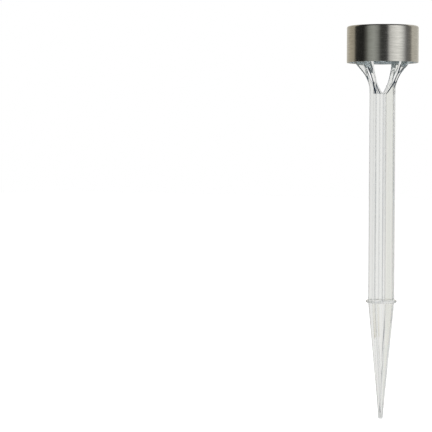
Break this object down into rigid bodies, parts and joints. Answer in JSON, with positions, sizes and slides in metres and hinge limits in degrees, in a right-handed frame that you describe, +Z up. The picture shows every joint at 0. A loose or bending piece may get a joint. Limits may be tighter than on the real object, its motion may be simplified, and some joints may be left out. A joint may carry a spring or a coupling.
{
  "type": "solar garden light",
  "caption": "Garden stake light: clear cross-shaped stake with a pointed spike and ground flange, and a round steel-capped head with solar panel, battery and lamp that pulls off.",
  "frame": {"origin": "centre of the underside of the stake's flange, which rests on the soil", "axes": "+Z up the stake to the head; the stake's four arms lie along X and Y"},
  "size_m": [0.055, 0.055, 0.3038],
  "materials": {
    "clear_plastic": "clear, polished",
    "steel": "brushed round the cap",
    "black_plastic": "fine moulded grain",
    "grey_plastic": "fine moulded grain",
    "seal_rubber": "matt",
    "screw_steel": "zinc plated",
    "foam_tape": "matt foam",
    "panel_board": "black solder mask",
    "cell_silicon": "blue, with fine silver fingers",
    "clear_resin": "glossy poured resin",
    "red_insulation": "soft gloss",
    "black_insulation": "soft gloss",
    "circuit_laminate": "green solder mask",
    "chip_mould": "matt",
    "tinned_metal": "tinned",
    "inductor_coat": "green coating",
    "lamp_epoxy": "water clear",
    "switch_metal": "stamped",
    "battery_steel": "nickel plated",
    "battery_film": "shrink film",
    "contact_steel": "nickel plated"
  },
  "bodies": {
    "stake": {"stake": "clear_plastic"},
    "head": {"steel_cap": "steel", "upper_housing": "black_plastic", "base_housing": "grey_plastic", "housing_seal": "seal_rubber", "cover_screws": "screw_steel", "panel_tape": "foam_tape", "solar_board": "panel_board", "solar_cells": "cell_silicon", "panel_dome": "clear_resin", "panel_lead_positive": "red_insulation", "panel_lead_negative": "black_insulation", "circuit_board": "circuit_laminate", "board_screws": "screw_steel", "driver_chip": "chip_mould", "chip_pins": "tinned_metal", "inductor": "inductor_coat", "inductor_leads": "tinned_metal", "led_lamp": "lamp_epoxy", "led_leads": "tinned_metal", "switch_body": "switch_metal", "switch_pins": "tinned_metal", "battery_cell": "battery_steel", "battery_sleeve": "battery_film", "battery_contact_plus": "contact_steel", "battery_contact_minus": "contact_steel", "battery_spring": "contact_steel", "battery_lead_positive": "red_insulation", "battery_lead_negative": "black_insulation"},
    "switch": {"switch_knob": "black_plastic"}
  },
  "joints": [
    {"name": "head_lift", "type": "slide", "parent": "stake", "child": "head", "axis": [0, 0, 1], "range_m": [0, 0.03]},
    {"name": "switch_slide", "type": "slide", "parent": "head", "child": "switch", "axis": [0.7071, 0.7071, 0], "range_m": [0, 0.002]}
  ]
}
